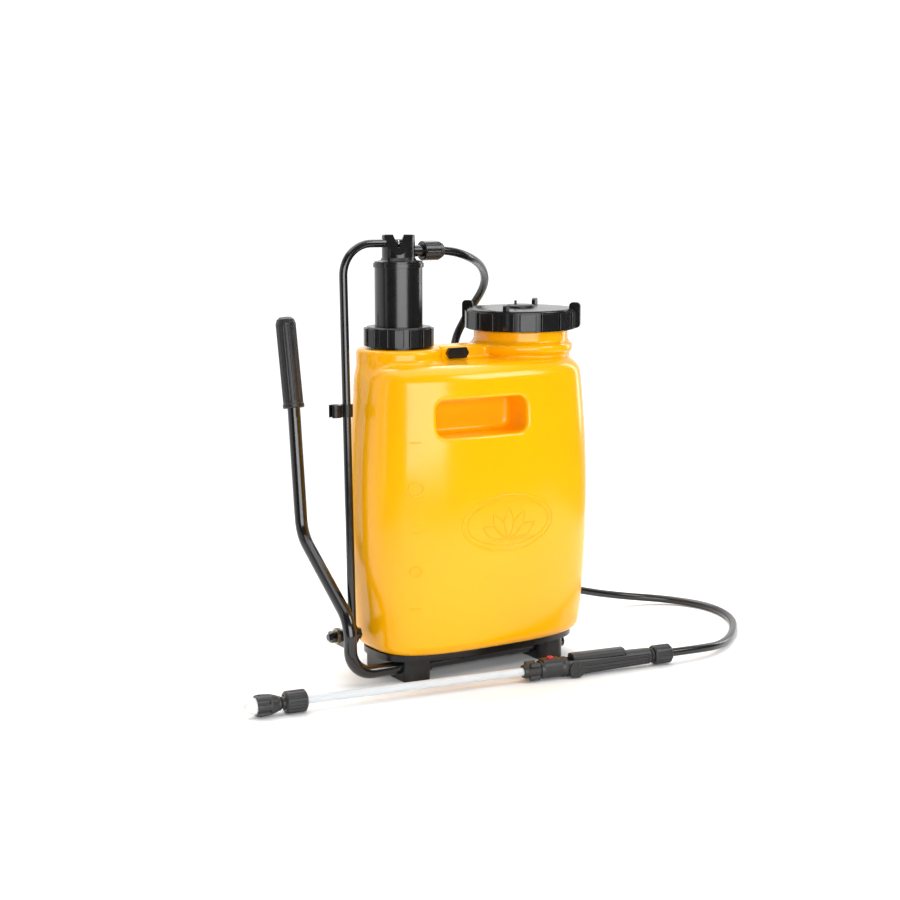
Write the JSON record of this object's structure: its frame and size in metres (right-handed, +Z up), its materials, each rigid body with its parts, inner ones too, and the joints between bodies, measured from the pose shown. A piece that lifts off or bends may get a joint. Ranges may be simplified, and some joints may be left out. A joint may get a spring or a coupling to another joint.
{
  "type": "backpack sprayer",
  "caption": "Manual backpack sprayer: moulded tank with side pump lever, moving air chamber, filler cap, shoulder straps, and a hose to a trigger wand.",
  "frame": {"origin": "on the ground below the middle of the tank", "axes": "+Z up, +X towards the filler cap's side (away from the pump lever), +Y towards the wearer's back"},
  "size_m": [0.775, 0.2988, 0.536],
  "materials": {
    "tank": "blow-moulded, satin gloss",
    "black_plastic": "moulded, semi-gloss",
    "wand_plastic": "moulded, fine texture",
    "black_steel": "powder-coated gloss",
    "zinc_steel": "yellow zinc plated",
    "steel_ball": "polished",
    "grip_rubber": "satin",
    "hose": "smooth extruded, glossy",
    "webbing": "woven ribbed",
    "pad_fabric": "woven nylon over foam",
    "white_plastic": "moulded, satin",
    "clear_lance": "translucent milky white",
    "red_plastic": "moulded, glossy"
  },
  "bodies": {
    "tank": {"tank_shell": "tank", "base_tray": "black_plastic", "left_foot": "black_plastic", "right_foot": "black_plastic", "base_screws": "zinc_steel", "pump_cylinder": "black_plastic", "pump_neck_seal": "grip_rubber", "foot_valve": "black_plastic", "strap_anchor_plug": "black_plastic", "strap_bracket": "black_plastic", "strap_hooks": "black_plastic", "strap_buckles": "black_plastic", "left_strap_webbing": "webbing", "right_strap_webbing": "webbing", "left_strap_pad": "pad_fabric", "right_strap_pad": "pad_fabric", "hose_clip": "black_plastic", "hose_upper": "hose", "hose_lower": "hose"},
    "lever": {"lever_tube": "black_steel", "lever_grip": "grip_rubber", "pivot_plate": "black_steel", "pivot_bolt": "black_steel", "pivot_sleeve": "zinc_steel", "pivot_washers": "zinc_steel", "pivot_nut": "black_steel", "axle_clip": "black_steel", "axle_end_cap": "black_plastic"},
    "chamber": {"air_chamber": "black_plastic", "chamber_head": "black_plastic", "piston": "black_plastic", "piston_cup": "grip_rubber"},
    "connecting_rod": {"connecting_rod": "black_steel", "rod_split_pin": "zinc_steel", "lance_clip": "black_plastic"},
    "foot_ball": {"foot_valve_ball": "steel_ball"},
    "piston_ball": {"piston_ball": "steel_ball"},
    "pump_nut": {"pump_nut": "black_plastic"},
    "outlet_nut": {"outlet_nut": "black_plastic"},
    "cap_gasket": {"cap_gasket": "grip_rubber"},
    "filler_cap": {"filler_cap": "black_plastic", "vent_valve": "grip_rubber"},
    "strainer": {"filler_strainer": "black_plastic"},
    "wand": {"lance_tube": "clear_lance", "nozzle_body": "wand_plastic", "valve_body": "wand_plastic", "handle": "wand_plastic", "hose_tail": "wand_plastic", "pivot_knob": "wand_plastic"},
    "trigger": {"trigger": "wand_plastic"},
    "lock_button": {"lock_button": "red_plastic"},
    "nozzle": {"nozzle_tip": "white_plastic", "nozzle_cap": "black_plastic"},
    "nozzle_nut": {"nozzle_nut": "black_plastic"},
    "lance_nut": {"lance_nut": "black_plastic"},
    "hose_nut": {"hose_nut": "black_plastic"}
  },
  "joints": [
    {"name": "lever_swing", "type": "hinge", "parent": "tank", "child": "lever", "pos_m": [0, -0.03, 0.016], "axis": [-1, 0, 0], "range_deg": [0, 40]},
    {"name": "pump_stroke", "type": "slide", "parent": "tank", "child": "chamber", "axis": [0, 0, -1], "range_m": [0, 0.029], "deforming": ["hose_upper"]},
    {"name": "rod_swing", "type": "hinge", "parent": "chamber", "child": "connecting_rod", "pos_m": [-0.09, 0.018, 0.526], "axis": [1, 0, 0], "range_deg": [0, 2.6]},
    {"name": "foot_ball_lift", "type": "slide", "parent": "tank", "child": "foot_ball", "axis": [0, 0, 1], "range_m": [0, 0.0025]},
    {"name": "piston_ball_lift", "type": "slide", "parent": "chamber", "child": "piston_ball", "axis": [0, 0, 1], "range_m": [0, 0.0025]},
    {"name": "pump_nut_turn", "type": "hinge", "parent": "tank", "child": "pump_nut", "pos_m": [-0.09, 0.018, 0.414], "axis": [0, 0, 1], "continuous": true},
    {"name": "outlet_nut_turn", "type": "hinge", "parent": "chamber", "child": "outlet_nut", "pos_m": [-0.044, 0.018, 0.516], "axis": [1, 0, 0], "continuous": true},
    {"name": "cap_lift", "type": "slide", "parent": "tank", "child": "cap_gasket", "axis": [0, 0, 1], "range_m": [0, 0.015]},
    {"name": "cap_turn", "type": "hinge", "parent": "cap_gasket", "child": "filler_cap", "pos_m": [0.088, 0.018, 0.429], "axis": [0, 0, 1], "continuous": true},
    {"name": "strainer_lift", "type": "slide", "parent": "tank", "child": "strainer", "axis": [0, 0, 1], "range_m": [0, 0.013]},
    {"name": "wand_lift", "type": "slide", "parent": "tank", "child": "wand", "axis": [0, 0, 1], "range_m": [0, 0.15], "deforming": ["hose_lower"]},
    {"name": "trigger_squeeze", "type": "hinge", "parent": "wand", "child": "trigger", "pos_m": [0.07046, -0.12526, 0.011], "axis": [-0.1298, -0.9915, 0], "range_deg": [0, 9]},
    {"name": "lock_press", "type": "slide", "parent": "wand", "child": "lock_button", "axis": [0, 0, -1], "range_m": [0, 0.003], "stiffness_N_per_m": 200, "springref_m": -0.002},
    {"name": "nozzle_turn", "type": "hinge", "parent": "wand", "child": "nozzle", "pos_m": [-0.32417, -0.0736, 0.013], "axis": [0.9915, -0.1298, 0], "continuous": true},
    {"name": "nozzle_nut_turn", "type": "hinge", "parent": "wand", "child": "nozzle_nut", "pos_m": [-0.28451, -0.07879, 0.013], "axis": [0.9915, -0.1298, 0], "continuous": true},
    {"name": "lance_nut_turn", "type": "hinge", "parent": "wand", "child": "lance_nut", "pos_m": [0.01395, -0.11786, 0.013], "axis": [0.9915, -0.1298, 0], "continuous": true},
    {"name": "hose_nut_turn", "type": "hinge", "parent": "wand", "child": "hose_nut", "pos_m": [0.1954, -0.14161, 0.013], "axis": [0.9915, -0.1298, 0], "continuous": true}
  ],
  "couplings": [
    {"joint": "pump_stroke", "follows": "lever_swing", "m_per_rad": 0.04108},
    {"joint": "rod_swing", "follows": "lever_swing", "ratio": 0.0632},
    {"joint": "strainer_lift", "follows": "cap_lift", "ratio": 0.8}
  ]
}
